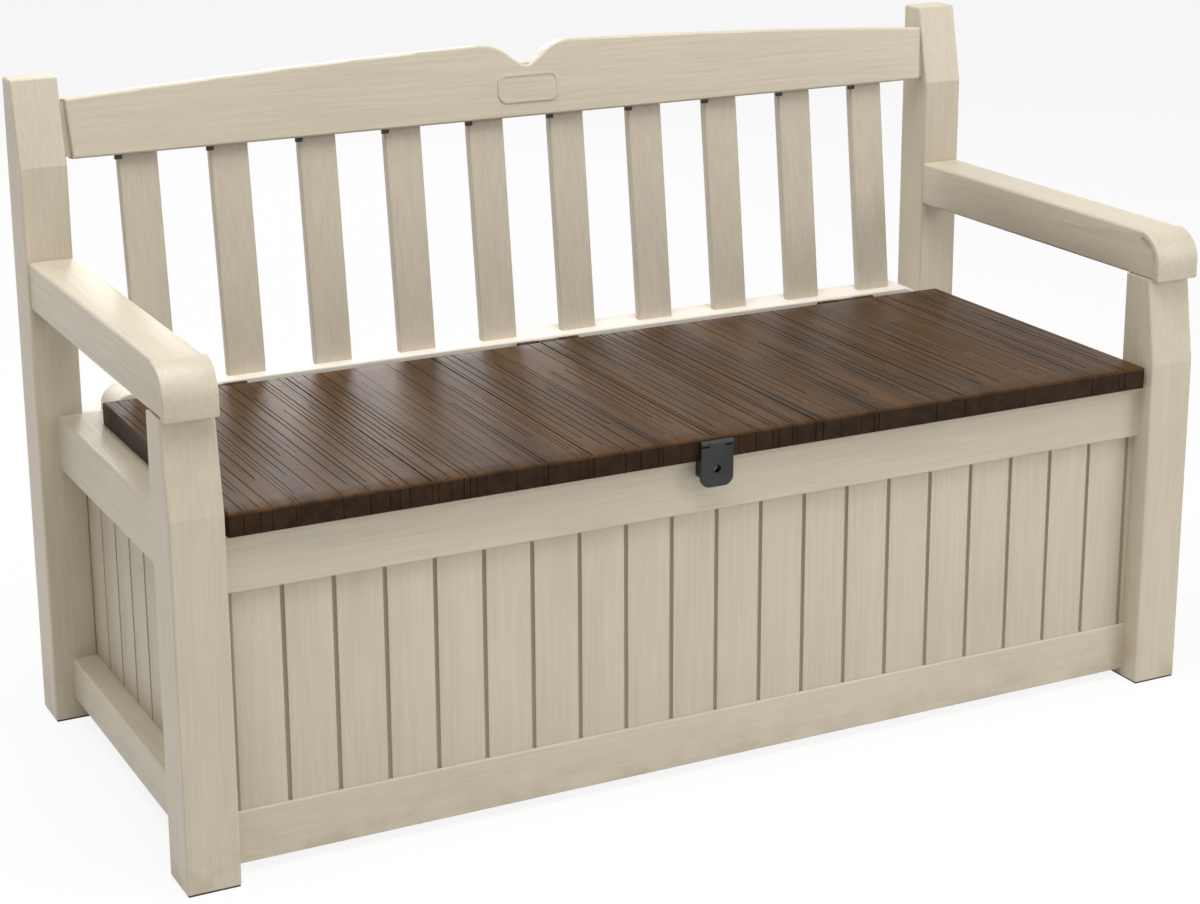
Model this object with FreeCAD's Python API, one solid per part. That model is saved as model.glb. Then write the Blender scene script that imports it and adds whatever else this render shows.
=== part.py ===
"""Resin storage bench: two side frames, a box with a hinged seat lid, and a slatted backrest.

Millimetres. +X runs along the width, +Y points to the back, +Z is up. The origin is on the
floor under the middle of the bench.
"""
import FreeCAD, Part
import os
import math

os.makedirs("parts", exist_ok=True)
V = FreeCAD.Vector

# ---- overall sizes ----
width = 1400.0
depth = 611.0
height = 848.0
wall = 3.0

# ---- legs, posts and armrests ----
leg_width = 64.5
leg_depth = 64.5
leg_kink_above_lid = 3.0
neck_lean = 17.5
post_width = 60.0
post_depth = 61.5
post_kink_below_top = 108.0
post_lean = 24.0
arm_above_lid = 177.0
arm_thickness = 62.0
arm_nose_radius = 40.0
arm_end_wall = 12.0
foot_cap_height = 3.0
foot_cap_inset = 1.5
foot_plug_height = 16.0
foot_plug_wall = 2.5
edge_radius = 3.0
arm_edge_radius = 5.0

# ---- box rails and panels ----
lid_top = 445.0
lid_skirt = 27.7
lid_rest_gap = 0.3
upper_rail_height = 71.0
rail_depth = 60.0
front_rail_setback = 23.0
front_plank_setback = 32.0
front_lower_setback = 30.0
lower_rail_bottom = 12.0
lower_rail_height = 66.0
side_rail_setback = 26.5
side_plank_setback = 59.0
side_lower_bottom = 29.0
side_lower_height = 56.0
rail_end_wall = 12.0
panel_thickness = 4.0
panel_tongue = 8.0
groove_width = 3.0
groove_depth = 2.0
front_planks = 20
panel_stile = 10.5
side_planks = 8
floor_height = 60.0

# ---- backrest ----
ledge_above_lid = 1.0
ledge_height = 50.0
ledge_front_setback = 99.5
ledge_back_setback = 43.5
ledge_end_gap = 2.0
ledge_end_radius = 24.0
ledge_end_wall = 26.0
ledge_tenon_drop = 31.0
back_panel_setback = 5.0
back_lean = 6.9
slat_count = 10
slat_width = 52.0
slat_thickness = 14.0
slat_front_setback = 82.5
slat_tenon = 10.0
top_rail_below_post_top = 101.0
top_rail_proud = 12.5
top_rail_thickness = 26.0
arch_end = 75.0
arch_middle = 91.0
arch_middle_share = 0.55
arch_crest = 100.0
notch_shoulder = 66.0
notch_round = 41.0
notch_round_drop = 6.0
notch_brow = 24
notch_brow_drop = 17
notch_cheek = 9
notch_cheek_drop = 28
notch_depth = 31
arch_end_gap = 4.5
foot_end_gap = 9.0
rail_tenon_thickness = 10.0
rail_tenon_length = 14.0
badge_width = 90.0
badge_height = 38.0
badge_rim = 3.0
badge_proud = 1.5
badge_sink = 0.8
badge_above_rail = 20.0
stop_width = 9.0
stop_overhang = 5.0
stop_thickness = 5.0
stop_height = 6.0

# ---- seat lid and its hinges ----
lid_side_gap = 5.5
lid_front_setback = 8.5
lid_hinge_gap = 9.0
lid_plate = 3.0
lid_planks = 12
lid_groove_width = 2.0
lid_groove_depth = 1.0
underside_thickness = 3.0
rib_thickness = 2.5
ribs_across = 9
ribs_along = 3
barrel_radius = 5.3
hinge_pin_radius = 2.5
hinge_clearance = 0.05
hinge_inset = 150.0
barrel_below_top = 0.2
barrel_length = 30.0
barrel_gap = 0.5
web_thickness = 6.0
screw_head_radius = 4.5
screw_head_height = 2.0
screw_radius = 2.0
screw_length = 15.0
boss_radius = 6.0
screw_row_inset = 60.0

# ---- hasp ----
hasp_centre = -17.0
hasp_width = 44.0
hasp_length = 54.5
hasp_thickness = 4.5
hasp_corner = 12.0
hasp_barrel_radius = 3.6
hasp_pin_radius = 1.5
hasp_axis_below_top = 6.5
hasp_axis_forward = 4.5
hasp_plate = 2.5
hasp_plate_height = 19.0
hasp_hole_radius = 5.0
hasp_recess = 0.6
keeper_width = 36.0
keeper_height = 22.0
keeper_wall = 3.4
keeper_clearance = 0.4
keeper_hole_radius = 4.5
keeper_hole_below = 10.5
keeper_root = 8.0
keeper_below_rail = 0.5

# ---- bolts through the rear posts ----
bolt_radius = 3.0
bolt_head_radius = 6.0
bolt_head_height = 2.5
bolt_grip = 12.0

# ---- places worked out from the sizes above ----
leg_front = -depth / 2
leg_rear = leg_front + leg_depth
leg_inner = width / 2 - leg_width
post_front = depth / 2 - post_depth
post_inner = width / 2 - post_width
arm_top = lid_top + arm_above_lid
arm_under = arm_top - arm_thickness
leg_kink_height = lid_top + leg_kink_above_lid
post_kink_height = height - post_kink_below_top
lid_bottom = lid_top - lid_skirt
rail_top = lid_bottom - lid_rest_gap
rail_bottom = rail_top - upper_rail_height
front_rail_face = leg_front + front_rail_setback
front_plank_face = leg_front + front_plank_setback
front_lower_face = leg_front + front_lower_setback
side_rail_face = width / 2 - side_rail_setback
side_rail_inner = side_rail_face - rail_depth
side_plank_face = width / 2 - side_plank_setback
lower_rail_top = lower_rail_bottom + lower_rail_height
side_lower_top = side_lower_bottom + side_lower_height
front_plank_pitch = 2 * (leg_inner - panel_stile) / front_planks
ledge_top = lid_top + ledge_above_lid
ledge_front = depth / 2 - ledge_front_setback
ledge_back = depth / 2 - ledge_back_setback
ledge_tenon_top = ledge_top - ledge_tenon_drop
back_plank_face = ledge_back - back_panel_setback
ledge_bottom = ledge_top - ledge_height
ledge_half = side_rail_inner - ledge_end_gap
slat_front = depth / 2 - slat_front_setback
slat_pitch = slat_width + (2 * post_inner - slat_count * slat_width) / (slat_count + 1)
rail_base = height - top_rail_below_post_top
rail_face = slat_front - top_rail_proud
lid_half = leg_inner - lid_side_gap
lid_front = leg_front + lid_front_setback
lid_rear = ledge_front - 2 * lid_hinge_gap
hinge_y = ledge_front - lid_hinge_gap
hinge_z = lid_top - barrel_radius - barrel_below_top
hinge_places = (hinge_inset - lid_half, 0.0, lid_half - hinge_inset)
lid_plank_pitch = 2 * lid_half / lid_planks
hasp_y = lid_front - hasp_axis_forward
hasp_z = lid_top - hasp_axis_below_top


def box(x0, x1, y0, y1, z0, z1):
    return Part.makeBox(x1 - x0, y1 - y0, z1 - z0, V(x0, y0, z0))


def rod(radius, x0, x1, y, z):
    """Round bar along X."""
    return Part.makeCylinder(radius, x1 - x0, V(x0, y, z), V(1, 0, 0))


def upright(radius, x, y, z0, z1):
    """Round bar along Z."""
    return Part.makeCylinder(radius, z1 - z0, V(x, y, z0), V(0, 0, 1))


def joined(shapes):
    return shapes[0].multiFuse(shapes[1:]).removeSplitter()


def side_profile(points, x0, x1):
    """Outline of (y, z) points, extruded from x0 to x1."""
    corners = [V(x0, y, z) for y, z in points]
    return Part.Face(Part.makePolygon(corners + corners[:1])).extrude(V(x1 - x0, 0, 0))


def soften(shape, radius, wanted):
    """Round the edges whose bounding box passes the test."""
    return shape.makeFillet(radius, [edge for edge in shape.Edges if wanted(edge.BoundBox)])


def mirrored(shape):
    return shape.mirror(V(0, 0, 0), V(1, 0, 0))


def leaned(shape):
    """Tilt a backrest piece about the line where the slats meet the ledge."""
    turned = shape.copy()
    turned.rotate(V(0, slat_front, ledge_top), V(1, 0, 0), -back_lean)
    return turned


def write(name, shape):
    shape.exportStep(f"parts/{name}.step")


def write_pair(name, left_shape):
    write(f"left_{name}", left_shape)
    write(f"right_{name}", mirrored(left_shape))


# ---- side frames ----

def front_leg():
    """Square tube with a neck that leans back above the kink, open at the foot."""
    def outline(inset, bottom):
        front = leg_front + inset
        rear = leg_rear - inset
        top = arm_under - inset
        return [(front, bottom), (front, leg_kink_height), (front + neck_lean, top),
                (rear, top), (rear, bottom)]
    outer = side_profile(outline(0, foot_cap_height), -width / 2, -leg_inner)
    outer = soften(outer, edge_radius, lambda b: b.XLength < 0.01 and b.ZLength > 1)
    return outer.cut(side_profile(outline(wall, 0), -width / 2 + wall, -leg_inner - wall))


def rear_post():
    """Tall tube whose front face leans back above the kink, open at the foot."""
    def outline(inset, bottom):
        front = post_front + inset
        rear = depth / 2 - inset
        top = height - inset
        return [(front, bottom), (front, post_kink_height), (front + post_lean, top),
                (rear, top), (rear, bottom)]
    outer = side_profile(outline(0, foot_cap_height), -width / 2, -post_inner)
    outer = soften(outer, edge_radius,
                   lambda b: (b.XLength < 0.01 and b.ZLength > 1) or b.ZMin > height - 1)
    return outer.cut(side_profile(outline(wall, 0), -width / 2 + wall, -post_inner - wall))


def armrest():
    """Level hollow arm whose nose rolls down over the top of the leg."""
    x0 = -width / 2
    outer = box(x0, -leg_inner, leg_front, post_front, arm_under, arm_top)
    outer = soften(outer, arm_nose_radius, lambda b: b.YMax < leg_front + 1 and b.ZMin > arm_top - 1)
    outer = soften(outer, arm_edge_radius,
                   lambda b: b.XLength < 0.01 and b.YMin < post_front - 1 and b.ZMax > arm_under + 1)
    void = box(x0 + wall, -leg_inner - wall, leg_front + wall, post_front - arm_end_wall, arm_under + wall,
               arm_top - wall)
    void = soften(void, arm_nose_radius - wall,
                  lambda b: b.YMax < leg_front + wall + 1 and b.ZMin > arm_top - wall - 1)
    return outer.cut(void)


def foot_cap(x_centre, y_centre, x_size, y_size):
    """Flat glide with a hollow plug that fills the open foot of a tube."""
    def block(inset, z0, z1):
        half_x = x_size / 2 - inset
        half_y = y_size / 2 - inset
        return box(x_centre - half_x, x_centre + half_x, y_centre - half_y, y_centre + half_y, z0, z1)
    base = block(foot_cap_inset, 0, foot_cap_height)
    plug_top = foot_cap_height + foot_plug_height
    plug = block(wall, foot_cap_height, plug_top)
    core = block(wall + foot_plug_wall, foot_cap_height, plug_top)
    return base.fuse(plug.cut(core)).removeSplitter()


def rail_along_x(x0, x1, y0, y1, z0, z1):
    """Hollow rail with rounded long edges and closed ends."""
    outer = soften(box(x0, x1, y0, y1, z0, z1), edge_radius, lambda b: b.XLength > 100)
    return outer.cut(box(x0 + rail_end_wall, x1 - rail_end_wall, y0 + wall, y1 - wall, z0 + wall, z1 - wall))


def rail_along_y(x0, x1, y0, y1, z0, z1):
    outer = soften(box(x0, x1, y0, y1, z0, z1), edge_radius, lambda b: b.YLength > 100)
    return outer.cut(box(x0 + wall, x1 - wall, y0 + rail_end_wall, y1 - rail_end_wall, z0 + wall, z1 - wall))


# ---- panels ----

def grooved_panel_x(half_span, face, facing, z0, z1, planks, pitch):
    """Upright panel across the width with a vertical groove between planks.

    facing is -1 when the planked face looks to the front and +1 when it looks to the back.
    """
    inner = face - facing * panel_thickness
    panel = box(-half_span, half_span, min(face, inner), max(face, inner), z0, z1)
    groove_floor = face - facing * groove_depth
    grooves = []
    for i in range(1, planks):
        x = (i - planks / 2) * pitch
        grooves.append(box(x - groove_width / 2, x + groove_width / 2,
                           min(face, groove_floor), max(face, groove_floor), z0, z1))
    return panel.cut(Part.Compound(grooves))


def side_panel():
    """Grooved panel between the front leg and the rear post, its edges held in slots."""
    x0 = -side_plank_face
    panel = box(x0, x0 + panel_thickness, leg_rear - panel_tongue, post_front + panel_tongue,
                side_lower_top - panel_tongue, rail_bottom + panel_tongue)
    pitch = (post_front - leg_rear) / side_planks
    grooves = []
    for i in range(1, side_planks):
        y = leg_rear + i * pitch
        grooves.append(box(x0, x0 + groove_depth, y - groove_width / 2, y + groove_width / 2,
                           side_lower_top - panel_tongue, rail_bottom + panel_tongue))
    return panel.cut(Part.Compound(grooves))


# ---- backrest ----

def slats():
    made = []
    for i in range(slat_count):
        x = (i - (slat_count - 1) / 2) * slat_pitch
        slat = box(x - slat_width / 2, x + slat_width / 2, slat_front, slat_front + slat_thickness,
                   ledge_top - slat_tenon, rail_base + slat_tenon)
        made.append(leaned(soften(slat, edge_radius, lambda b: b.ZLength > 100)))
    return made


def arched_outline():
    """Closed edge loop of the top rail: flat foot, two gentle arches and a notch between them."""
    def at(x, rise):
        return V(x, rail_face, rail_base + rise)
    foot = post_inner - foot_end_gap
    end = post_inner - arch_end_gap
    edges = [Part.LineSegment(at(-foot, 0), at(foot, 0)).toShape(),
             Part.LineSegment(at(foot, 0), at(end, arch_end)).toShape(),
             Part.LineSegment(at(-end, arch_end), at(-foot, 0)).toShape(),
             Part.Arc(at(-notch_cheek, arch_crest - notch_cheek_drop), at(0, arch_crest - notch_depth),
                      at(notch_cheek, arch_crest - notch_cheek_drop)).toShape()]
    for side in (1, -1):
        shoulder = at(side * notch_shoulder, arch_crest)
        brow = at(side * notch_brow, arch_crest - notch_brow_drop)
        cheek = at(side * notch_cheek, arch_crest - notch_cheek_drop)
        middle = at(side * end * arch_middle_share, arch_middle)
        edges.append(Part.Arc(at(side * end, arch_end), middle, shoulder).toShape())
        rounding = at(side * notch_round, arch_crest - notch_round_drop)
        edges.append(Part.Arc(shoulder, rounding, brow).toShape())
        edges.append(Part.LineSegment(brow, cheek).toShape())
    return edges


def backrest_top_rail():
    """Shaped rail with a thin tenon at each end that enters the post."""
    wire = Part.Wire(Part.__sortEdges__(arched_outline()))
    rail = Part.Face(wire).extrude(V(0, top_rail_thickness, 0))
    rail = soften(rail, edge_radius, lambda b: b.YLength < 0.01)
    middle = rail_face + top_rail_thickness / 2
    reach = post_inner + rail_tenon_length
    tenon = box(-reach, reach, middle - rail_tenon_thickness / 2, middle + rail_tenon_thickness / 2,
                rail_base + wall, rail_base + arch_end - wall)
    hollow_half = post_inner - foot_end_gap - rail_end_wall
    hollow = box(-hollow_half, hollow_half, rail_face + wall, rail_face + top_rail_thickness - wall,
                 rail_base + wall, rail_base + arch_crest - notch_depth - wall)
    return leaned(rail.fuse(tenon).cut(hollow).removeSplitter())


def badge_plate():
    """Bare oval-cornered plate with a raised rim on the face of the top rail."""
    z = rail_base + badge_above_rail
    plate = box(-badge_width / 2, badge_width / 2, rail_face - badge_proud, rail_face,
                z, z + badge_height)
    plate = soften(plate, badge_height / 3, lambda b: b.YLength > 1 and b.XLength < 0.01 and b.ZLength < 0.01)
    inner = box(-badge_width / 2 + badge_rim, badge_width / 2 - badge_rim, rail_face - badge_proud,
                rail_face - badge_proud + badge_sink, z + badge_rim, z + badge_height - badge_rim)
    inner = soften(inner, badge_height / 3 - badge_rim,
                   lambda b: b.YLength > 0.5 and b.XLength < 0.01 and b.ZLength < 0.01)
    return leaned(plate.cut(inner))


def slat_stops():
    """Small dark stop under the rail at the left front edge of each slat."""
    made = []
    for i in range(slat_count):
        slat_left = (i - (slat_count - 1) / 2) * slat_pitch - slat_width / 2
        stop = box(slat_left - stop_overhang, slat_left - stop_overhang + stop_width,
                   slat_front - stop_thickness, slat_front, rail_base - stop_height, rail_base)
        made.append(leaned(stop))
    return made


def barrels(owner):
    """Hinge knuckles: the lid has the outer two of each hinge, the ledge has the middle one."""
    made = []
    for x in hinge_places:
        if owner == "ledge":
            spans = [(x - barrel_length / 2, x + barrel_length / 2)]
            web_y = (hinge_y, ledge_front)
        else:
            inner = barrel_length / 2 + barrel_gap
            outer = inner + barrel_length
            spans = [(x - outer, x - inner), (x + inner, x + outer)]
            web_y = (lid_rear, hinge_y)
        for x0, x1 in spans:
            made.append(rod(barrel_radius, x0, x1, hinge_y, hinge_z))
            made.append(box(x0, x1, web_y[0], web_y[1],
                            hinge_z - web_thickness / 2, hinge_z + web_thickness / 2))
    return made


def backrest_ledge(slat_solids):
    """Rail behind the lid: carries the slats, the back panel and the fixed hinge knuckles."""
    outer = soften(box(-ledge_half, ledge_half, ledge_front, ledge_back, ledge_bottom, ledge_top),
                   ledge_end_radius, lambda b: b.YLength > 1 and b.XLength < 0.01 and b.ZMin > ledge_top - 1)
    outer = soften(outer, edge_radius, lambda b: b.XLength > 100)
    outer = outer.cut(box(-ledge_half + ledge_end_wall, ledge_half - ledge_end_wall, ledge_front + wall,
                          ledge_back - wall, ledge_bottom + wall, ledge_top - wall))
    ends = []
    for side in (1, -1):
        near = side * (ledge_half - rail_end_wall / 2)
        far = side * post_inner
        ends.append(box(min(near, far), max(near, far), post_front, ledge_back - edge_radius,
                        ledge_bottom + edge_radius, ledge_tenon_top))
    ledge = joined([outer] + ends + barrels("ledge"))
    ledge = ledge.cut(rod(hinge_pin_radius, -width / 2, width / 2, hinge_y, hinge_z))
    return ledge.cut(Part.Compound(slat_solids))


def hinge_pins():
    half = 1.5 * barrel_length + barrel_gap
    return Part.Compound([rod(hinge_pin_radius, x - half, x + half, hinge_y, hinge_z) for x in hinge_places])


# ---- seat lid ----

def screw_places():
    """Between the ribs, in two rows."""
    rib_gap = 2 * (lid_half - wall) / (ribs_across + 1)
    rows = (lid_front + screw_row_inset, lid_rear - screw_row_inset)
    return [((i + 0.5) * rib_gap, y) for i in (-4, -2, 1, 3) for y in rows]


def lid_screws():
    made = []
    for x, y in screw_places():
        head = upright(screw_head_radius, x, y, lid_bottom, lid_bottom + screw_head_height)
        shank = upright(screw_radius, x, y, lid_bottom, lid_bottom + screw_length)
        made.append(head.fuse(shank).removeSplitter())
    return made


def seat_lid(screws):
    """Top shell with plank grooves, a skirt, screw bosses and the moving hinge knuckles."""
    outer = box(-lid_half, lid_half, lid_front, lid_rear, lid_bottom, lid_top)
    outer = soften(outer, edge_radius, lambda b: b.ZMin > lid_top - 1 or b.ZLength > 1)
    hollow = box(-lid_half + wall, lid_half - wall, lid_front + wall, lid_rear - wall,
                 lid_bottom, lid_top - lid_plate)
    bosses = [upright(boss_radius, x, y, lid_bottom + underside_thickness, lid_top - lid_plate)
              for x, y in screw_places()]
    shell = joined([outer.cut(hollow)] + bosses + barrels("lid"))
    grooves = []
    for i in range(1, lid_planks):
        x = -lid_half + i * lid_plank_pitch
        grooves.append(box(x - lid_groove_width / 2, x + lid_groove_width / 2, lid_front, lid_rear,
                           lid_top - lid_groove_depth, lid_top))
    shell = shell.cut(Part.Compound(grooves))
    shell = shell.cut(rod(hinge_pin_radius + hinge_clearance, -width / 2, width / 2, hinge_y, hinge_z))
    return shell.cut(Part.Compound(screws))


def lid_underside(screws):
    """Flat panel inside the skirt with a grid of ribs that stiffens the lid."""
    x_edge = lid_half - wall
    y0 = lid_front + wall
    y1 = lid_rear - wall
    z1 = lid_bottom + underside_thickness
    rib_top = lid_top - lid_plate
    parts = [box(-x_edge, x_edge, y0, y1, lid_bottom, z1)]
    for i in range(1, ribs_across + 1):
        x = -x_edge + i * 2 * x_edge / (ribs_across + 1)
        parts.append(box(x - rib_thickness / 2, x + rib_thickness / 2, y0, y1, z1, rib_top))
    for i in range(1, ribs_along + 1):
        y = y0 + i * (y1 - y0) / (ribs_along + 1)
        parts.append(box(-x_edge, x_edge, y - rib_thickness / 2, y + rib_thickness / 2, z1, rib_top))
    return joined(parts).cut(Part.Compound(screws))


# ---- hasp ----

def hasp_base():
    """Small plate on the lid's front edge with two knuckles for the hasp."""
    half = hasp_width / 2
    plate = box(hasp_centre - half, hasp_centre + half, lid_front - hasp_plate, lid_front,
                lid_top - hasp_plate_height - edge_radius, lid_top - edge_radius)
    parts = [plate]
    for side in (1, -1):
        near = hasp_centre + side * half / 2
        far = hasp_centre + side * half
        parts.append(rod(hasp_barrel_radius, min(near, far), max(near, far), hasp_y, hasp_z))
    recess = rod(hasp_barrel_radius + hasp_recess, hasp_centre - half / 2, hasp_centre + half / 2,
                 hasp_y, hasp_z)
    return joined(parts).cut(hasp_pin()).cut(recess)


def hasp_pin():
    half = hasp_width / 2
    return rod(hasp_pin_radius, hasp_centre - half, hasp_centre + half, hasp_y, hasp_z)


def hasp_flap():
    """Rounded tongue that hangs over the keeper, with a round padlock hole."""
    half = hasp_width / 2
    plate_top = hasp_z - hasp_barrel_radius - barrel_gap
    rear = lid_front - hasp_plate - keeper_clearance
    front = rear - hasp_thickness
    plate = box(hasp_centre - half, hasp_centre + half, front, rear, hasp_z - hasp_length, plate_top)
    plate = soften(plate, hasp_corner, lambda b: b.YLength > 1 and b.ZMax < hasp_z - hasp_length + 1
                   and b.XLength < 0.01)
    neck = half / 2 - barrel_gap
    knuckle = rod(hasp_barrel_radius, hasp_centre - neck, hasp_centre + neck, hasp_y, hasp_z)
    web = box(hasp_centre - neck, hasp_centre + neck, front, hasp_y, plate_top - 1, hasp_z)
    flap = joined([plate, knuckle, web])
    flap = flap.cut(rod(hasp_pin_radius + hinge_clearance, hasp_centre - half, hasp_centre + half,
                        hasp_y, hasp_z))
    hole = Part.makeCylinder(hasp_hole_radius, 4 * hasp_thickness,
                             V(hasp_centre, front - hasp_thickness, rail_top - keeper_hole_below), V(0, 1, 0))
    return flap.cut(hole)


def keeper():
    """Bridge on the front rail behind the hasp; the padlock passes through its round hole."""
    half = keeper_width / 2
    inner = half - keeper_wall
    front = lid_front - hasp_plate
    rear = front_rail_face + keeper_root
    top = rail_top - keeper_below_rail
    bottom = top - keeper_height
    bridge = box(hasp_centre - half, hasp_centre + half, front, rear, bottom, top)
    bridge = bridge.cut(box(hasp_centre - inner, hasp_centre + inner, front + keeper_wall, rear, bottom, top))
    hole = Part.makeCylinder(keeper_hole_radius, 3 * keeper_wall,
                             V(hasp_centre, front - keeper_wall, rail_top - keeper_hole_below), V(0, 1, 0))
    return bridge.cut(hole)


# ---- bolts ----

def post_bolts():
    """Long bolts from behind each post into the armrest and both side rails."""
    x = -width / 2 + side_rail_setback + (width / 2 - side_rail_setback - post_inner) / 2
    heights = (arm_top - arm_thickness / 2, rail_top - upper_rail_height / 2,
               side_lower_bottom + side_lower_height / 2)
    made = []
    for z in heights:
        for bolt_x in (x, -x):
            head = Part.makeCylinder(bolt_head_radius, bolt_head_height,
                                     V(bolt_x, depth / 2 - bolt_head_height, z), V(0, 1, 0))
            tip = post_front - bolt_grip
            shank = Part.makeCylinder(bolt_radius, depth / 2 - tip, V(bolt_x, tip, z), V(0, 1, 0))
            made.append(head.fuse(shank).removeSplitter())
    return made


# ---- put the bench together ----

bolts = Part.Compound(post_bolts())
slat_solids = slats()
screw_solids = lid_screws()
top_rail = backrest_top_rail()
ledge = backrest_ledge(slat_solids)
side_panel_left = side_panel()
side_panel_right = mirrored(side_panel_left)
side_panels = Part.Compound([side_panel_left, side_panel_right])

front_panel = grooved_panel_x(leg_inner, front_plank_face, -1, lower_rail_top - panel_tongue,
                              rail_bottom + panel_tongue, front_planks, front_plank_pitch)
back_panel = grooved_panel_x(post_inner, back_plank_face, 1, lower_rail_top - panel_tongue,
                             ledge_bottom + panel_tongue, front_planks, front_plank_pitch)
front_lower_back = front_lower_face + rail_depth
back_lower_front = ledge_back - rail_depth
floor_panel = box(-side_rail_inner - panel_tongue, side_rail_inner + panel_tongue,
                  front_lower_back - panel_tongue, back_lower_front + panel_tongue,
                  floor_height, floor_height + panel_thickness)
keeper_solid = keeper()

front_top_rail = rail_along_x(-leg_inner, leg_inner, front_rail_face, front_rail_face + rail_depth,
                              rail_bottom, rail_top)
front_lower_rail = rail_along_x(-leg_inner, leg_inner, front_lower_face, front_lower_back,
                                lower_rail_bottom, lower_rail_top)
back_lower_rail = rail_along_x(-post_inner, post_inner, back_lower_front, ledge_back,
                               lower_rail_bottom, lower_rail_top)
upper_side_rail = rail_along_y(-side_rail_face, -side_rail_inner, leg_rear, post_front, rail_bottom, rail_top)
lower_side_rail = rail_along_y(-side_rail_face, -side_rail_inner, leg_rear, post_front,
                               side_lower_bottom, side_lower_top)

front_top_zone = box(-leg_inner, leg_inner, front_rail_face, front_rail_face + rail_depth,
                     rail_bottom, rail_top)
front_lower_zone = box(-leg_inner, leg_inner, front_lower_face, front_lower_back,
                       lower_rail_bottom, lower_rail_top)
back_lower_zone = box(-post_inner, post_inner, back_lower_front, ledge_back,
                      lower_rail_bottom, lower_rail_top)
upper_side_rail = upper_side_rail.cut(front_top_zone).cut(side_panels).cut(bolts).cut(ledge)
lower_side_rail = lower_side_rail.cut(front_lower_zone).cut(back_lower_zone).cut(side_panels).cut(bolts)
lower_side_rail = lower_side_rail.cut(floor_panel).cut(front_panel).cut(back_panel)

write_pair("front_leg", front_leg().cut(side_panels))
write_pair("rear_post", rear_post().cut(side_panels).cut(bolts).cut(top_rail).cut(ledge))
write_pair("armrest", armrest().cut(bolts).cut(top_rail))
write_pair("upper_side_rail", upper_side_rail)
write_pair("lower_side_rail", lower_side_rail)
write_pair("side_panel", side_panel_left.cut(front_panel).cut(back_panel))

write("front_top_rail", front_top_rail.cut(front_panel).cut(keeper_solid).cut(side_panels))
write("front_lower_rail", front_lower_rail.cut(front_panel).cut(floor_panel).cut(side_panels))
write("front_panel", front_panel)
write("back_panel", back_panel)
write("back_lower_rail", back_lower_rail.cut(back_panel).cut(floor_panel).cut(side_panels))
write("floor_panel", floor_panel)

write("backrest_ledge", ledge.cut(back_panel))
write("backrest_top_rail", top_rail.cut(Part.Compound(slat_solids)))
write("badge_plate", badge_plate())
write("slat_stops", Part.Compound(slat_stops()))
for number, slat in enumerate(slat_solids, 1):
    write(f"slat_{number:02d}", slat)

leg_x = width / 2 - leg_width / 2
leg_y = leg_front + leg_depth / 2
post_x = width / 2 - post_width / 2
post_y = post_front + post_depth / 2
caps = []
for side in (-1, 1):
    caps.append(foot_cap(side * leg_x, leg_y, leg_width, leg_depth))
    caps.append(foot_cap(side * post_x, post_y, post_width, post_depth))
write("foot_caps", Part.Compound(caps))
write("post_bolts", bolts)

write("seat_lid", seat_lid(screw_solids))
write("lid_underside", lid_underside(screw_solids))
write("lid_screws", Part.Compound(screw_solids))
write("hinge_pins", hinge_pins())
write("hasp_base", hasp_base())
write("hasp_pin", hasp_pin())
write("hasp_flap", hasp_flap())
write("hasp_keeper", keeper_solid)
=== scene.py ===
import math
import random

import bpy
from mathutils import Matrix, Vector


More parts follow.
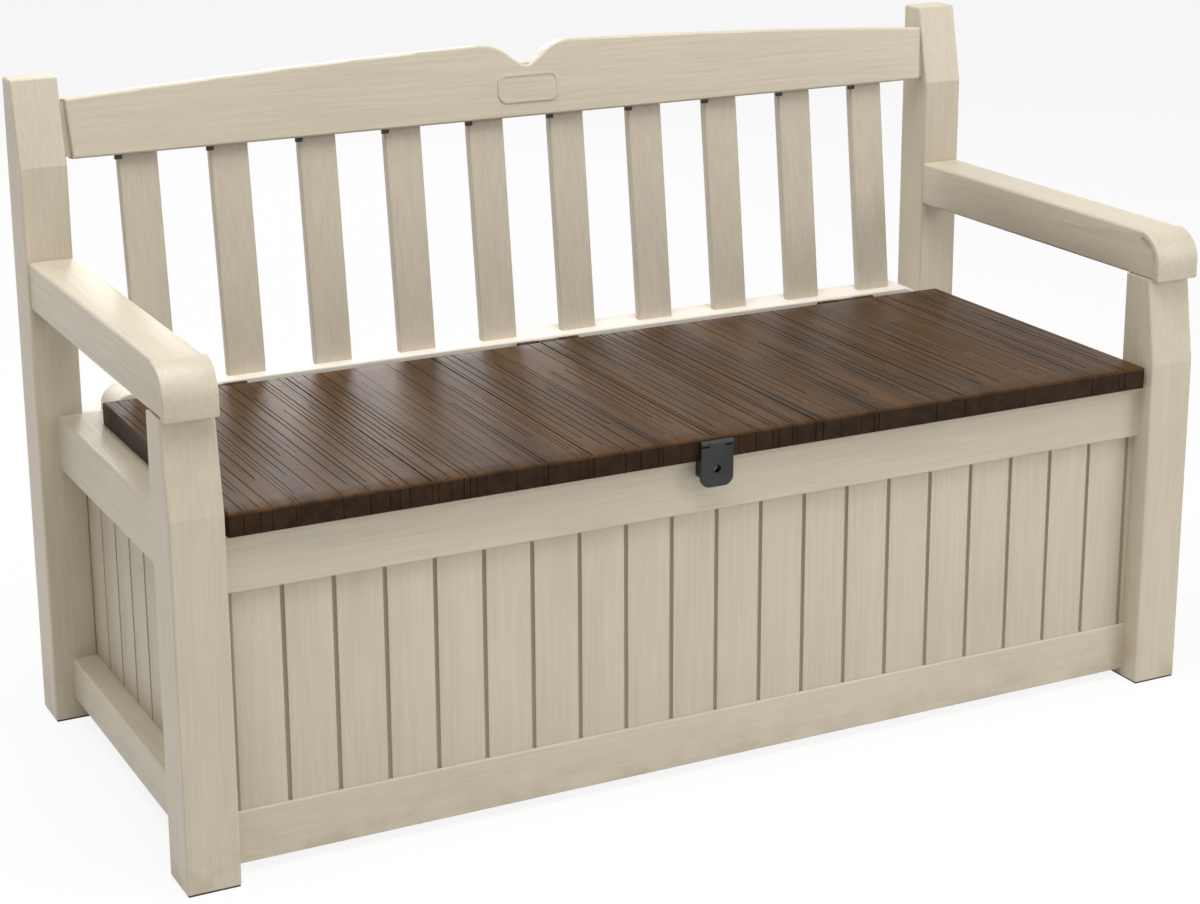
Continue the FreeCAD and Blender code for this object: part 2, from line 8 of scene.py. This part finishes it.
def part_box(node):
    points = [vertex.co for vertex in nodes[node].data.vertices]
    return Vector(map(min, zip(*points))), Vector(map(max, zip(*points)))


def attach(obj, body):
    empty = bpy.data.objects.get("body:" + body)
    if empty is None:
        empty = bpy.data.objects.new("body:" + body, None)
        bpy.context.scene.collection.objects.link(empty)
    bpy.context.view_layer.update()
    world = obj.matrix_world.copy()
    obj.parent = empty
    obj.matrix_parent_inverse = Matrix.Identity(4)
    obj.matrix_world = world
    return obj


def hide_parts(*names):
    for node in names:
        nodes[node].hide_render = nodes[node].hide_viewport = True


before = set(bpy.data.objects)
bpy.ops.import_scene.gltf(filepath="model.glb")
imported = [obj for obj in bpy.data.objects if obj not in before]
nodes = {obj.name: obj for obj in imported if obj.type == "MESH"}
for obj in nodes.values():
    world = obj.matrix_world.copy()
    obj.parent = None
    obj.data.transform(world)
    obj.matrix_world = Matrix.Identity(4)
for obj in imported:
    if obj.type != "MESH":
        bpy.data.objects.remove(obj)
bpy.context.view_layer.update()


# ---- Front legs ----
# Square tubes blow-moulded in warm beige resin, each with a neck that leans back above a kink.
# They stand on glides and carry the front rails and the nose of the armrest.
# The resin has a shallow wood grain pressed into it and collects a little dust near the ground.
class Shade:
    """One output of a shader node, which arithmetic can be written on."""

    def __init__(self, tree, socket=None):
        self.tree = tree
        self.socket = socket

    def add(self, kind, settings, inputs, out=0):
        """Adds a node: its settings first, then the value or link of each named or numbered socket."""
        node = self.tree.nodes.new(kind)
        for name, value in settings.items():
            setattr(node, name, value)
        for name, value in inputs.items():
            if isinstance(value, Shade):
                self.tree.links.new(value.socket, node.inputs[name])
            else:
                node.inputs[name].default_value = value
        return Shade(self.tree, node.outputs[out])

    def maths(self, operation, a, b=0.0):
        return self.add("ShaderNodeMath", {"operation": operation}, {0: a, 1: b})

    def __add__(self, other):
        return self.maths("ADD", self, other)

    __radd__ = __add__

    def __sub__(self, other):
        return self.maths("SUBTRACT", self, other)

    def __rsub__(self, other):
        return self.maths("SUBTRACT", other, self)

    def __mul__(self, other):
        return self.maths("MULTIPLY", self, other)

    __rmul__ = __mul__

    def clamped(self):
        return self.add("ShaderNodeClamp", {}, {0: self})

    def between(self, low, high):
        """0 below low, 1 above high and smooth between them."""
        return self.add("ShaderNodeMapRange", {"interpolation_type": "SMOOTHSTEP"},
                        {0: self, 1: low, 2: high})

    def tint(self, colour_0, colour_1):
        """The first colour where this is 0 and the second where it is 1."""
        return self.add("ShaderNodeMix", {"data_type": "RGBA"},
                        {0: self, 6: colour_0, 7: colour_1}, out=2)


def srgb(red, green, blue):
    """Linear colour from the 0 to 255 values of a paint chart."""
    def linear(value):
        share = value / 255
        return share / 12.92 if share <= 0.04045 else ((share + 0.055) / 1.055) ** 2.4
    return (linear(red), linear(green), linear(blue), 1.0)


def new_finish(name):
    """An empty material, its shader node and a Shade to build from."""
    finish = bpy.data.materials.new(name)
    finish.use_nodes = True
    tree = finish.node_tree
    return finish, tree.nodes["Principled BSDF"], Shade(tree)


def stretched(start, along, fine, coarse):
    """Object coordinates in which a pattern is coarse along one axis and fine across it."""
    place = start.add("ShaderNodeTexCoord", {}, {}, out="Object")
    scale = [coarse if axis == along else fine for axis in "xyz"]
    return start.add("ShaderNodeMapping", {}, {"Vector": place, "Scale": scale})


def noise(start, vector, scale, detail=3.0, rough=0.55):
    return start.add("ShaderNodeTexNoise", {},
                     {"Vector": vector, "Scale": scale, "Detail": detail, "Roughness": rough})


def join(start, shader, colour, roughness, relief, height):
    """Connects what varies over the surface; relief is in metres at strength 1."""
    tree = start.tree
    bump = start.add("ShaderNodeBump", {}, {"Strength": 1.0, "Distance": relief, "Height": height})
    tree.links.new(colour.socket, shader.inputs["Base Color"])
    tree.links.new(roughness.socket, shader.inputs["Roughness"])
    tree.links.new(bump.socket, shader.inputs["Normal"])


def beige_resin(name, along, body=(196, 185, 165), dusty=0.0, shaded_before=None, grooves=None):
    """Moulded beige resin whose pressed wood grain runs along one axis.

    Past dusty, which sets the dust near the ground, come two cases: the depth in front of which
    painted shade turns the resin dark brown, and grooves, the axis, first place and pitch of
    grooves darkened with painted shade.
    """
    finish, shader, start = new_finish(name)
    place = start.add("ShaderNodeTexCoord", {}, {}, out="Object")
    grain = noise(start, stretched(start, along, 1.0, 0.035), 240, detail=5.0, rough=0.6)
    broad = noise(start, stretched(start, along, 1.0, 0.12), 34, detail=2.0)
    clouds = noise(start, place, 5.0, detail=2.0)
    pebble = noise(start, place, 900, detail=1.0)
    deep = tuple(round(c * 0.965) for c in body)
    pale = tuple(min(255, round(c * 1.025)) for c in body)
    lines = grain.between(0.38, 0.62)
    tone = (0.45 * lines + 0.35 * broad.between(0.3, 0.7) + 0.2 * clouds.between(0.35, 0.65)).clamped()
    colour = tone.tint(srgb(*deep), srgb(*pale))
    if dusty:
        height = start.add("ShaderNodeSeparateXYZ", {}, {0: place}, out="Z")
        dust = (1 - height.between(0.0, 0.09)) * noise(start, place, 28, detail=4.0).between(0.35, 0.75)
        colour = (dusty * dust).tint(colour, srgb(150, 134, 110))
    if grooves:
        axis, first, pitch = grooves
        across = start.add("ShaderNodeSeparateXYZ", {}, {0: place}, out=axis)
        distance = start.maths("PINGPONG", across - first, pitch / 2)
        # Painted shade: each groove and its lips are darkened, for the shade that falls in the channel.
        groove_shade = 1 - distance.between(0.0020, 0.0032)
        groove_shade_strength = 0.7
        colour = (groove_shade_strength * groove_shade).tint(colour, srgb(118, 102, 82))
    if shaded_before is not None:
        depth = start.add("ShaderNodeSeparateXYZ", {}, {0: place}, out="Y")
        # Painted shade: in front of this depth the ledge's hinge knuckles are tinted dark brown, for
        # the shade they sit in.
        knuckle_painted_shade = 1 - depth.between(shaded_before - 0.001, shaded_before)
        colour = knuckle_painted_shade.tint(colour, srgb(62, 42, 26))
    roughness = 0.4 + 0.12 * broad - 0.05 * lines
    join(start, shader, colour, roughness, 0.0005, 0.6 * grain + 0.3 * broad + 0.08 * pebble)
    shader.inputs["Specular IOR Level"].default_value = 0.5
    return finish


def dress(finish, *names):
    """Gives CAD nodes a finish on every material slot."""
    for name in names:
        slots = nodes[name].data.materials
        for i in range(len(slots)):
            slots[i] = finish


leg_resin = beige_resin("beige_resin_upright", "z", dusty=0.5)
dress(leg_resin, "left_front_leg", "right_front_leg")


# ---- Rear posts ----
# Tall tubes of the same resin, upright to a kink beside the top rail and leaning back above it.
# The top rail, the ledge and the armrests are bolted into them.
dress(leg_resin, "left_rear_post", "right_rear_post")


# ---- Foot glides ----
# Dark polyethylene plugs pressed into the open ends of the legs and posts.
# Only a 3 mm sole of each shows.
def dark_plastic(name, body, roughness_0, relief, level):
    finish, shader, start = new_finish(name)
    place = start.add("ShaderNodeTexCoord", {}, {}, out="Object")
    speckle = noise(start, place, 420, detail=3.0)
    smears = noise(start, place, 22, detail=4.0)
    colour = smears.between(0.3, 0.75).tint(srgb(*body), srgb(*[c + 22 for c in body]))
    join(start, shader, colour, roughness_0 + 0.18 * smears, relief, speckle)
    shader.inputs["Specular IOR Level"].default_value = level
    return finish


glide_plastic = dark_plastic("glide_plastic", (52, 48, 43), 0.55, 0.0003, 0.4)
dress(glide_plastic, "foot_caps")


# ---- Armrests ----
# Level hollow arms, each capped at the front by a broad strip that rolls down over the leg.
# The arm behind the strip is a little narrower, which leaves a dark step beside it.
def block(name, low, high):
    """A closed box between two corners, with its place in its mesh."""
    bpy.ops.object.select_all(action="DESELECT")
    middle = [(a + b) / 2 for a, b in zip(low, high)]
    bpy.ops.mesh.primitive_cube_add(size=1, location=middle)
    piece = bpy.context.object
    piece.name = name
    piece.data.name = name
    piece.scale = [b - a for a, b in zip(low, high)]
    bpy.ops.object.transform_apply(location=True, rotation=True, scale=True)
    return piece


def pick(piece, kind, test):
    """Goes into edit mode with the points, edges or faces that pass a test selected."""
    bpy.ops.object.mode_set(mode="OBJECT")
    mesh = piece.data
    for group in (mesh.vertices, mesh.edges, mesh.polygons):
        group.foreach_set("select", [False] * len(group))
    bpy.context.tool_settings.mesh_select_mode = [kind == k for k in ("point", "edge", "face")]
    if kind == "point":
        for point in mesh.vertices:
            point.select = test(point.co)
    elif kind == "edge":
        for edge in mesh.edges:
            a, b = (mesh.vertices[i].co for i in edge.vertices)
            edge.select = test(a, b)
    else:
        for face in mesh.polygons:
            face.select = test(face.center, face.normal)
    bpy.ops.object.mode_set(mode="EDIT")


def use(piece):
    bpy.ops.object.mode_set(mode="OBJECT")
    bpy.ops.object.select_all(action="DESELECT")
    piece.select_set(True)
    bpy.context.view_layer.objects.active = piece


def round_edges(piece, width, segments=3, sharper_than=35):
    """Rounds every edge sharper than an angle, and applies it."""
    use(piece)
    bevel = piece.modifiers.new("rounding", "BEVEL")
    bevel.width = width
    bevel.segments = segments
    bevel.limit_method = "ANGLE"
    bevel.angle_limit = math.radians(sharper_than)
    bevel.harden_normals = False
    bpy.ops.object.modifier_apply(modifier=bevel.name)


def finished(piece, finish, body, slot_name, *stands_for):
    """Smooths a finished piece and gives it its finish, its body and the nodes it stands for."""
    same_point = 0.000002
    use(piece)
    bpy.ops.object.mode_set(mode="EDIT")
    bpy.ops.mesh.select_all(action="SELECT")
    bpy.ops.mesh.remove_doubles(threshold=same_point)
    bpy.ops.mesh.normals_make_consistent(inside=False)
    bpy.ops.object.mode_set(mode="OBJECT")
    bpy.ops.object.shade_smooth_by_angle(angle=math.radians(32))
    piece.data.materials.clear()
    piece.data.materials.append(finish)
    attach(piece, body)
    if stands_for:
        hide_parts(*stands_for)
    return piece


def mirror_copy(piece, name):
    """The same piece on the other side of the bench, with its own mesh."""
    use(piece)
    bpy.ops.object.duplicate()
    copy = bpy.context.object
    copy.name = name
    copy.data.name = name
    copy.scale = (-1, 1, 1)
    bpy.ops.object.transform_apply(location=True, rotation=True, scale=True)
    return copy


arm_low, arm_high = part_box("left_armrest")
nose_radius = 0.040
strip_thickness = 0.010
arm_side_step = 0.0026

arm = block("left_armrest_shell",
            (arm_low.x + arm_side_step, arm_low.y + strip_thickness, arm_low.z),
            (arm_high.x - arm_side_step, arm_high.y, arm_high.z))
pick(arm, "edge", lambda a, b: abs(a.x - b.x) > 0.01 and max(a.y, b.y) < arm_low.y + 0.02
     and min(a.z, b.z) > arm_high.z - 0.001)
bpy.ops.mesh.bevel(offset=nose_radius - strip_thickness, segments=12, affect="EDGES")
arm_edge_round = 0.0045
round_edges(arm, arm_edge_round, segments=4)

strip = block("armrest_strip", (arm_low.x, arm_low.y, arm_low.z),
              (arm_high.x, arm_low.y + strip_thickness, arm_high.z - nose_radius))
pick(strip, "face", lambda c, n: n.z > 0.9)
bpy.ops.mesh.spin(steps=14, angle=math.radians(90), axis=(1, 0, 0),
                  center=(0, arm_low.y + nose_radius, arm_high.z - nose_radius))
strip_edge_round = 0.0022
round_edges(strip, strip_edge_round, segments=3, sharper_than=50)

use(arm)
union = arm.modifiers.new("one moulding", "BOOLEAN")
union.operation = "UNION"
union.solver = "EXACT"
union.object = strip
bpy.ops.object.modifier_apply(modifier=union.name)
bpy.data.objects.remove(strip)
arm_resin = beige_resin("beige_resin_arm", "y")
right_arm = mirror_copy(arm, "right_armrest_shell")
finished(arm, arm_resin, "root", "beige_resin", "left_armrest")
finished(right_arm, arm_resin, "root", "beige_resin", "right_armrest")


# ---- Side rails ----
# Hollow beige resin rails that run front to back between leg and post, above and below the
# side panel. Tenons hold them at both ends.
side_resin = beige_resin("beige_resin_side", "y", dusty=0.35)
dress(side_resin, "left_upper_side_rail", "right_upper_side_rail",
      "left_lower_side_rail", "right_lower_side_rail")


# ---- Front, back and top rails, and the ledge behind the lid ----
# Long hollow rails across the bench. The top rail has two gentle arches with a notch between
# them; the ledge carries the foot of every slat and the fixed knuckles of the hinges.
rail_resin = beige_resin("beige_resin_rail", "x", dusty=0.35)
dress(rail_resin, "front_top_rail", "front_lower_rail", "back_lower_rail", "backrest_top_rail")
ledge_face = 0.2055
# Painted shade: the ledge's knuckles in front of its face are tinted dark brown.
ledge_resin = beige_resin("pale_resin_ledge", "x", body=(228, 220, 206), shaded_before=ledge_face)
dress(ledge_resin, "backrest_ledge")


# ---- Grooved panels ----
# Thin sheets moulded to look like boards, held in slots of the rails, legs and posts.
# Each groove is a narrow channel with softly rounded lips, darkened with painted shade.
def cut_across(piece, places, axis):
    """Cuts a piece into strips by planes square to an axis."""
    normal = [0.0, 0.0, 0.0]
    normal[axis] = 1.0
    for place in places:
        point = [0.0, 0.0, 0.0]
        point[axis] = place
        bpy.ops.object.mode_set(mode="EDIT")
        bpy.ops.mesh.select_all(action="SELECT")
        bpy.ops.mesh.bisect(plane_co=point, plane_no=normal)


def grooved_sheet(name, node, axis, facing, groove_places, half_groove, depth):
    """A sheet with channels; axis is the one across the boards, facing the sign of its face."""
    low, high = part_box(node)
    across = 1 - axis
    sheet = block(name, low, high)
    cut_across(sheet, [p + s * half_groove for p in groove_places for s in (-1, 1)], axis)

    def in_groove(centre, normal):
        near = min(abs(centre[axis] - p) for p in groove_places)
        return normal[across] * facing > 0.9 and near < half_groove
    pick(sheet, "face", in_groove)
    step = [0.0, 0.0, 0.0]
    step[across] = -facing * depth
    bpy.ops.mesh.extrude_region_move(TRANSFORM_OT_translate={"value": step})
    round_edges(sheet, 0.0008, segments=2)
    return sheet


leg_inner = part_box("left_front_leg")[1].x
front_boards = 20
half_groove = 0.0026
groove_depth = 0.0028
end_gap = 0.0105
board_pitch = 2 * (-leg_inner - end_gap) / front_boards
front_grooves = [(i - front_boards / 2) * board_pitch for i in range(1, front_boards)]
front_sheet = grooved_sheet("front_boards", "front_panel", 0, -1, front_grooves, half_groove,
                           groove_depth)
board_resin = beige_resin("beige_resin_board", "z", dusty=0.35, grooves=("X", 0.0, board_pitch))
finished(front_sheet, board_resin, "root", "beige_resin", "front_panel")
back_sheet = grooved_sheet("back_boards", "back_panel", 0, 1, front_grooves, half_groove,
                           groove_depth)
finished(back_sheet, board_resin, "root", "beige_resin", "back_panel")

side_boards = 8
leg_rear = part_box("left_front_leg")[1].y
post_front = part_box("left_rear_post")[0].y
side_pitch = (post_front - leg_rear) / side_boards
side_grooves = [leg_rear + i * side_pitch for i in range(1, side_boards)]
side_board_resin = beige_resin("beige_resin_side_board", "z", dusty=0.35,
                               grooves=("Y", leg_rear, side_pitch))
for side, facing in (("left", -1), ("right", 1)):
    side_sheet = grooved_sheet(f"{side}_side_boards", f"{side}_side_panel", 1, facing,
                               side_grooves, half_groove, groove_depth)
    finished(side_sheet, side_board_resin, "root", "beige_resin", f"{side}_side_panel")
dress(rail_resin, "floor_panel")


# ---- Slats ----
# Ten boards that stand in the ledge and enter the top rail, leaning back with it.
# A small dark stop sits under the rail at the left edge of each: painted shade, a dark block where the
# gap there lies in shadow.
slat_resin = beige_resin("beige_resin_slat", "z", body=(196, 184, 166))
dress(slat_resin, *[f"slat_{i:02d}" for i in range(1, 11)])
# Painted shade: the stops are dark blocks put where the gap under the rail lies in shadow.
dress(glide_plastic, "slat_stops")


# ---- Badge plate ----
# A small bare plate with a raised rim, in the resin of the rails.
# It is moulded on the face of the top rail under the notch.
dress(rail_resin, "badge_plate")


# ---- Seat lid ----
# Dark brown lid pressed with the grain of old boards: many narrow channels run front to back.
# It hinges on three steel pins behind, and its skirt hangs just clear of the rails.
lid_low, lid_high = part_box("seat_lid")
skirt_wall = 0.003
lid_edge_round = 0.003
rear_edge_gap = 0.0143
lid_rear = lid_high.y - rear_edge_gap
seams = [-0.386, -0.180, -0.017, 0.125, 0.346]
board_edges = [lid_low.x] + seams + [lid_high.x]
channel_depth = 0.0008
seam_half_width = 0.0012
seam_depth = 0.0016
grain_rows = 14
draw = random.Random(11)

lid = block("seat_lid_shell", lid_low, (lid_high.x, lid_rear, lid_high.z))
pick(lid, "edge", lambda a, b: min(a.z, b.z) > lid_high.z - 0.001 or abs(a.z - b.z) > 0.01)
bpy.ops.mesh.bevel(offset=lid_edge_round, segments=3, affect="EDGES")
pick(lid, "face", lambda c, n: n.z < -0.9)
bpy.ops.mesh.inset(thickness=skirt_wall)
bpy.ops.mesh.extrude_region_move(
    TRANSFORM_OT_translate={"value": (0, 0, lid_high.z - lid_low.z - skirt_wall)})

channels = []
for board_start, board_end in zip(board_edges, board_edges[1:]):
    x = board_start + draw.uniform(0.005, 0.012)
    while x < board_end - 0.005:
        half = draw.uniform(0.0003, 0.0010)
        first = draw.choice((0, 0, 0, 1, 2, 3, 5))
        last = draw.choice((grain_rows, grain_rows, grain_rows, 12, 10, 8))
        channels.append((x, half, first, last))
        x += draw.uniform(0.005, 0.016)
row_edges = [lid_low.y + (lid_rear - lid_low.y) * i / grain_rows for i in range(1, grain_rows)]
cut_across(lid, [x + s * seam_half_width for x in seams for s in (-1, 1)], 0)
cut_across(lid, [x + s * half for x, half, first, last in channels for s in (-1, 1)], 0)
cut_across(lid, row_edges, 1)


def on_lid_top(centre, normal):
    return normal.z > 0.99 and centre.z > lid_high.z - 0.0005


def in_channel(centre, normal):
    if not on_lid_top(centre, normal):
        return False
    row = int((centre.y - lid_low.y) / (lid_rear - lid_low.y) * grain_rows)
    return any(abs(centre.x - x) < half and first <= row < last for x, half, first, last in channels)


def in_seam(centre, normal):
    return on_lid_top(centre, normal) and any(abs(centre.x - x) < seam_half_width for x in seams)


def on_front_mark(centre, normal):
    facing = normal.y < -0.99 and centre.y < lid_low.y + 0.0005
    in_a_seam = any(abs(centre.x - x) < seam_half_width for x in seams)
    in_a_mark = any(abs(centre.x - x) < half for x, half, first, last in channels if first == 0)
    return facing and (in_a_seam or in_a_mark)


for chosen, step in ((in_channel, (0, 0, -channel_depth)), (in_seam, (0, 0, -seam_depth)),
                     (on_front_mark, (0, channel_depth, 0))):
    pick(lid, "face", chosen)
    bpy.ops.mesh.extrude_region_move(TRANSFORM_OT_translate={"value": step})


def brown_resin(name, along, relief, level, skirt_below=0.0):
    """Dark brown resin with a deep board grain: fine dark and pale streaks along one axis."""
    finish, shader, start = new_finish(name)
    place = start.add("ShaderNodeTexCoord", {}, {}, out="Object")
    streaks = noise(start, stretched(start, along, 1.0, 0.02), 420, detail=4.0, rough=0.65)
    bands = noise(start, stretched(start, along, 1.0, 0.05), 60, detail=3.0)
    boards = noise(start, stretched(start, along, 1.0, 0.2), 11, detail=2.0)
    clouds = noise(start, place, 4.0, detail=2.0)
    tone = (0.3 * streaks.between(0.34, 0.66) + 0.42 * bands.between(0.36, 0.64)
            + 0.28 * boards.between(0.36, 0.64)).clamped()
    colour = tone.tint(srgb(36, 21, 8), srgb(85, 57, 28))
    colour = (0.3 * clouds.between(0.4, 0.7)).tint(colour, srgb(70, 43, 16))
    if skirt_below:
        height = start.add("ShaderNodeSeparateXYZ", {}, {0: place}, out="Z")
        # Painted shade: the skirt below the lid's top is darkened, because its faces get less light
        # than the top.
        skirt_shade = 0.6
        skirt = 1 - height.between(skirt_below - 0.002, skirt_below)
        colour = (skirt_shade * skirt).tint(colour, srgb(20, 14, 10))
    roughness = 0.3 + 0.16 * streaks + 0.1 * clouds
    join(start, shader, colour, roughness, relief, 0.7 * streaks + 0.3 * bands)
    shader.inputs["Specular IOR Level"].default_value = level
    return finish


# The lid's skirt gets painted shade.
lid_resin = brown_resin("brown_resin_lid", "y", 0.0010, 0.11, skirt_below=lid_high.z - 0.002)
finished(lid, lid_resin, "lid", "brown_resin", "seat_lid")
dress(brown_resin("brown_resin_plain", "x", 0.0003, 0.3), "lid_underside")


# ---- Lid hinges ----
# Knuckles moulded on the lid's rear edge, two beside each one of the ledge, with a steel pin.
pin_low, pin_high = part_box("hinge_pins")
pin_radius = (pin_high.z - pin_low.z) / 2
hinge_y = (pin_low.y + pin_high.y) / 2
hinge_z = (pin_low.z + pin_high.z) / 2
knuckle_radius = lid_high.y - hinge_y
knuckle_length = 0.030
knuckle_gap = 0.0005
web_half = 0.003
hinge_reach = 1.5 * knuckle_length + knuckle_gap
outer_hinge = pin_high.x - hinge_reach


def knuckle(name, x):
    """A short tube along X with a web back to the lid."""
    bpy.ops.object.select_all(action="DESELECT")
    bpy.ops.mesh.primitive_cylinder_add(vertices=40, radius=knuckle_radius, depth=knuckle_length,
                                        location=(x, hinge_y, hinge_z),
                                        rotation=(0, math.radians(90), 0))
    tube = bpy.context.object
    tube.name = name
    tube.data.name = name
    bpy.ops.object.transform_apply(location=True, rotation=True, scale=True)
    pick(tube, "face", lambda c, n: abs(n.x) > 0.9)
    bpy.ops.mesh.inset(thickness=knuckle_radius - pin_radius - 0.00005)
    bpy.ops.mesh.bridge_edge_loops()
    use(tube)
    web = block("web", (x - knuckle_length / 2, lid_rear - 0.001, hinge_z - web_half),
                (x + knuckle_length / 2, hinge_y - pin_radius - 0.001, hinge_z + web_half))
    use(tube)
    union = tube.modifiers.new("one moulding", "BOOLEAN")
    union.operation = "UNION"
    union.solver = "EXACT"
    union.object = web
    bpy.ops.object.modifier_apply(modifier=union.name)
    bpy.data.objects.remove(web)
    return tube


number = 1
for centre in (-outer_hinge, 0.0, outer_hinge):
    for side in (-1, 1):
        shift = side * (knuckle_length + knuckle_gap)
        tube = knuckle(f"lid_knuckle_{number}", centre + shift)
        finished(tube, lid_resin, "lid", "brown_resin", "seat_lid")
        number += 1


def steel(name):
    """Zinc-plated steel with fine drawn scratches and a few dull patches."""
    finish, shader, start = new_finish(name)
    place = start.add("ShaderNodeTexCoord", {}, {}, out="Object")
    scratches = noise(start, stretched(start, "y", 1.0, 0.1), 900, detail=2.0)
    patches = noise(start, place, 120, detail=3.0).between(0.4, 0.7)
    colour = patches.tint(srgb(196, 197, 198), srgb(160, 160, 156))
    join(start, shader, colour, 0.24 + 0.22 * patches, 0.00008, scratches)
    shader.inputs["Metallic"].default_value = 1.0
    return finish


zinc = steel("zinc_plated_steel")
dress(zinc, "hinge_pins", "lid_screws", "post_bolts", "hasp_pin")


# ---- Hasp ----
# Black nylon hasp: a base on the lid's front edge, a flap that hangs from a steel pin, and the
# keeper behind it on the front rail, through which a padlock passes.
black_nylon = dark_plastic("black_nylon", (12, 11, 10), 0.28, 0.0002, 0.5)
dress(black_nylon, "hasp_base", "hasp_flap", "hasp_keeper")


# ---- Floor, light and camera ----
# A pale floor that fades to white, soft lamps above and in front, and the camera.
def no_shade_ray(start):
    """1 for a ray that shows the background: straight from the camera, or by gloss or glass."""
    path = start.add("ShaderNodeLightPath", {}, {})
    seen = Shade(start.tree, path.socket)
    node = path.socket.node
    glossy = Shade(start.tree, node.outputs["Is Glossy Ray"])
    through = Shade(start.tree, node.outputs["Is Transmission Ray"])
    return (seen + glossy + through).clamped()


world = bpy.data.worlds.new("studio")
bpy.context.scene.world = world
world.use_nodes = True
sky = Shade(world.node_tree)
background = world.node_tree.nodes["Background"]
ambient = 0.34
strength = ambient + no_shade_ray(sky) * (1.0 - ambient)
world.node_tree.links.new(strength.socket, background.inputs["Strength"])
background.inputs["Color"].default_value = (1.0, 1.0, 1.0, 1.0)

bpy.ops.object.select_all(action="DESELECT")
bpy.ops.mesh.primitive_plane_add(size=60)
floor = bpy.context.object
floor.name = "floor"
floor_white, floor_shader, floor_start = new_finish("floor_white")
floor_shader.inputs["Base Color"].default_value = (0.86, 0.86, 0.86, 1.0)
floor_shader.inputs["Roughness"].default_value = 0.9
floor_shader.inputs["Specular IOR Level"].default_value = 0.0
glow = floor_start.add("ShaderNodeEmission", {}, {"Color": (1.0, 1.0, 1.0, 1.0), "Strength": 1.0})
shown = Shade(floor_white.node_tree, floor_shader.outputs["BSDF"])
glow_share = 0.88
paper = floor_start.add("ShaderNodeMixShader", {},
                        {0: no_shade_ray(floor_start) * glow_share, 1: shown, 2: glow})
out = floor_white.node_tree.nodes["Material Output"]
floor_white.node_tree.links.new(paper.socket, out.inputs["Surface"])
floor.data.materials.append(floor_white)


def lamp(name, place, target, size, watts):
    light = bpy.data.lights.new(name, "AREA")
    light.shape = "SQUARE"
    light.size = size
    light.energy = watts
    holder = bpy.data.objects.new(name, light)
    bpy.context.scene.collection.objects.link(holder)
    holder.location = place
    holder.rotation_euler = (Vector(target) - Vector(place)).to_track_quat("-Z", "Y").to_euler()
    return holder


bench_middle = (0.0, 0.0, 0.4)
lamp("overhead", (-0.5, -0.9, 3.9), bench_middle, 2.6, 132)
lamp("front_right", (3.0, -3.2, 2.2), bench_middle, 2.0, 54)
lamp("behind", (1.0, 4.0, 1.75), bench_middle, 0.9, 26).visible_camera = False
lamp("upper_left", (-1.6, 2.6, 3.0), bench_middle, 1.2, 26).visible_camera = False

camera_data = bpy.data.cameras.new("camera")
camera = bpy.data.objects.new("camera", camera_data)
bpy.context.scene.collection.objects.link(camera)
camera_turn = math.radians(-26.54)
camera_tilt = math.radians(74.32)
camera_roll = math.radians(-0.36)
camera.matrix_world = (Matrix.Translation((-1.46007, -2.84098, 1.36427))
                       @ Matrix.Rotation(camera_turn, 4, "Z")
                       @ Matrix.Rotation(camera_tilt, 4, "X")
                       @ Matrix.Rotation(camera_roll, 4, "Z"))
camera_data.sensor_width = 36.0
camera_data.lens = 76.463
camera_data.shift_x = 0.01191
camera_data.shift_y = -0.07868
camera_data.clip_end = 100.0
bpy.context.scene.camera = camera
bpy.context.scene.view_settings.view_transform = "Standard"
